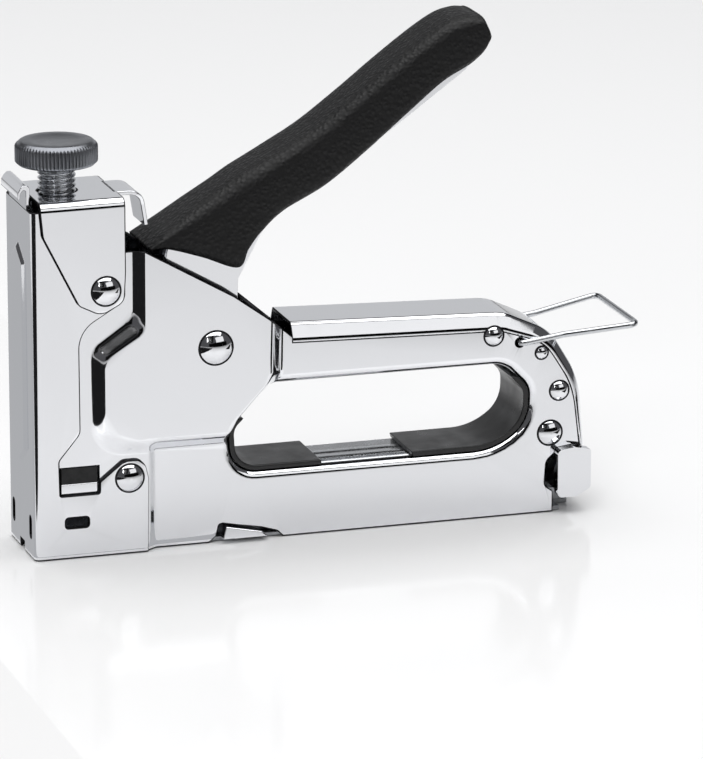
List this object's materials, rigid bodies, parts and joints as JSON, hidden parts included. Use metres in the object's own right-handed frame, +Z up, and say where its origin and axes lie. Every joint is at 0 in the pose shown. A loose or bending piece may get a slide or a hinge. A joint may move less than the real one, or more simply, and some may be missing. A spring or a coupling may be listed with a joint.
{
  "type": "staple gun",
  "caption": "Squeeze-handle staple gun: folded chrome body with a hand loop, spring striker nose, tension knob, rear-loading magazine and wire bail.",
  "frame": {"origin": "middle of the overall box, on the flat base that the tool stands on", "axes": "+X from the nose to the rear, +Y across to the far side, +Z up"},
  "size_m": [0.1838, 0.0372, 0.1494],
  "materials": {
    "shell_chrome": "mirror-polished chrome plate",
    "nose_chrome": "mirror-polished chrome plate",
    "cap_chrome": "mirror-polished chrome plate",
    "bush_steel": "turned",
    "rivet_chrome": "mirror-polished chrome plate",
    "rubber_black": "matt black rubber",
    "bar_chrome": "mirror-polished chrome plate",
    "track_steel": "bright zinc plate",
    "lug_chrome": "mirror-polished chrome plate",
    "insert_plastic": "satin black",
    "spacer_steel": "zinc plate",
    "spring_steel": "bright drawn wire",
    "handle_steel": "mirror-polished chrome plate",
    "grip_vinyl": "leather-grained black vinyl",
    "arm_steel": "oiled hardened steel",
    "roller_steel": "ground",
    "carrier_steel": "phosphated steel",
    "blade_steel": "ground spring steel",
    "screw_steel": "bright zinc plate",
    "knob_aluminium": "grey anodised, knurled",
    "bail_steel": "bright wire",
    "latch_chrome": "mirror-polished chrome plate",
    "pusher_steel": "zinc plate"
  },
  "bodies": {
    "frame": {"body_shell": "shell_chrome", "nose_cover": "nose_chrome", "top_cap": "cap_chrome", "screw_bush": "bush_steel", "bumper": "rubber_black", "bumper_bar": "bar_chrome", "magazine_channel": "track_steel", "channel_lugs": "lug_chrome", "staple_rail": "track_steel", "front_insert": "insert_plastic", "rear_insert": "insert_plastic", "cap_rivets": "rivet_chrome", "foot_rivet": "rivet_chrome", "rear_rivets": "rivet_chrome", "tail_rivet": "rivet_chrome", "latch_pin": "rivet_chrome", "pivot_pin": "rivet_chrome", "pivot_spacers": "spacer_steel", "power_spring": "spring_steel"},
    "handle": {"handle_channel": "handle_steel", "handle_grip": "grip_vinyl", "lift_arm": "arm_steel", "arm_rivet": "roller_steel", "roller_pin": "roller_steel", "return_spring": "spring_steel"},
    "roller": {"lift_roller": "roller_steel"},
    "striker": {"striker_carrier": "carrier_steel", "driver_blade": "blade_steel"},
    "seat": {"spring_seat": "carrier_steel"},
    "screw": {"adjusting_screw": "screw_steel", "adjusting_knob": "knob_aluminium"},
    "bail": {"wire_bail": "bail_steel"},
    "feed": {"rear_latch": "latch_chrome", "feed_rod": "track_steel", "pusher_spring": "spring_steel"},
    "pusher_unit": {"pusher": "pusher_steel"}
  },
  "joints": [
    {"name": "handle_hinge", "type": "hinge", "parent": "frame", "child": "handle", "pos_m": [-0.03591, 0, 0.059], "axis": [0, 1, 0], "range_deg": [0, 39], "stiffness_Nm_per_rad": 2, "springref_deg": -17.19},
    {"name": "striker_slide", "type": "slide", "parent": "frame", "child": "striker", "axis": [0, 0, 1], "range_m": [0, 0.0199], "deforming": ["power_spring"]},
    {"name": "roller_spin", "type": "hinge", "parent": "handle", "child": "roller", "pos_m": [-0.06351, 0, 0.048], "axis": [0, 1, 0], "continuous": true},
    {"name": "adjust_travel", "type": "slide", "parent": "frame", "child": "seat", "axis": [0, 0, -1], "range_m": [-0.0045, 0.00083]},
    {"name": "knob_turn", "type": "hinge", "parent": "seat", "child": "screw", "pos_m": [-0.07801, 0, 0.11], "axis": [0, 0, -1], "range_deg": [-1081, 200]},
    {"name": "bail_swing", "type": "hinge", "parent": "frame", "child": "bail", "pos_m": [0.05699, 0, 0.052], "axis": [0, 1, 0], "range_deg": [-130, 0]},
    {"name": "feed_slide", "type": "slide", "parent": "frame", "child": "feed", "axis": [1, 0, 0], "range_m": [0, 0.125]},
    {"name": "pusher_slide", "type": "slide", "parent": "feed", "child": "pusher_unit", "axis": [1, 0, 0], "range_m": [0, 0.1], "stiffness_N_per_m": 30, "springref_m": -0.05, "deforming": ["pusher_spring"]}
  ],
  "couplings": [
    {"joint": "striker_slide", "follows": "handle_hinge", "m_per_rad": 0.0291},
    {"joint": "knob_turn", "follows": "adjust_travel", "rad_per_m": 4188.8}
  ]
}
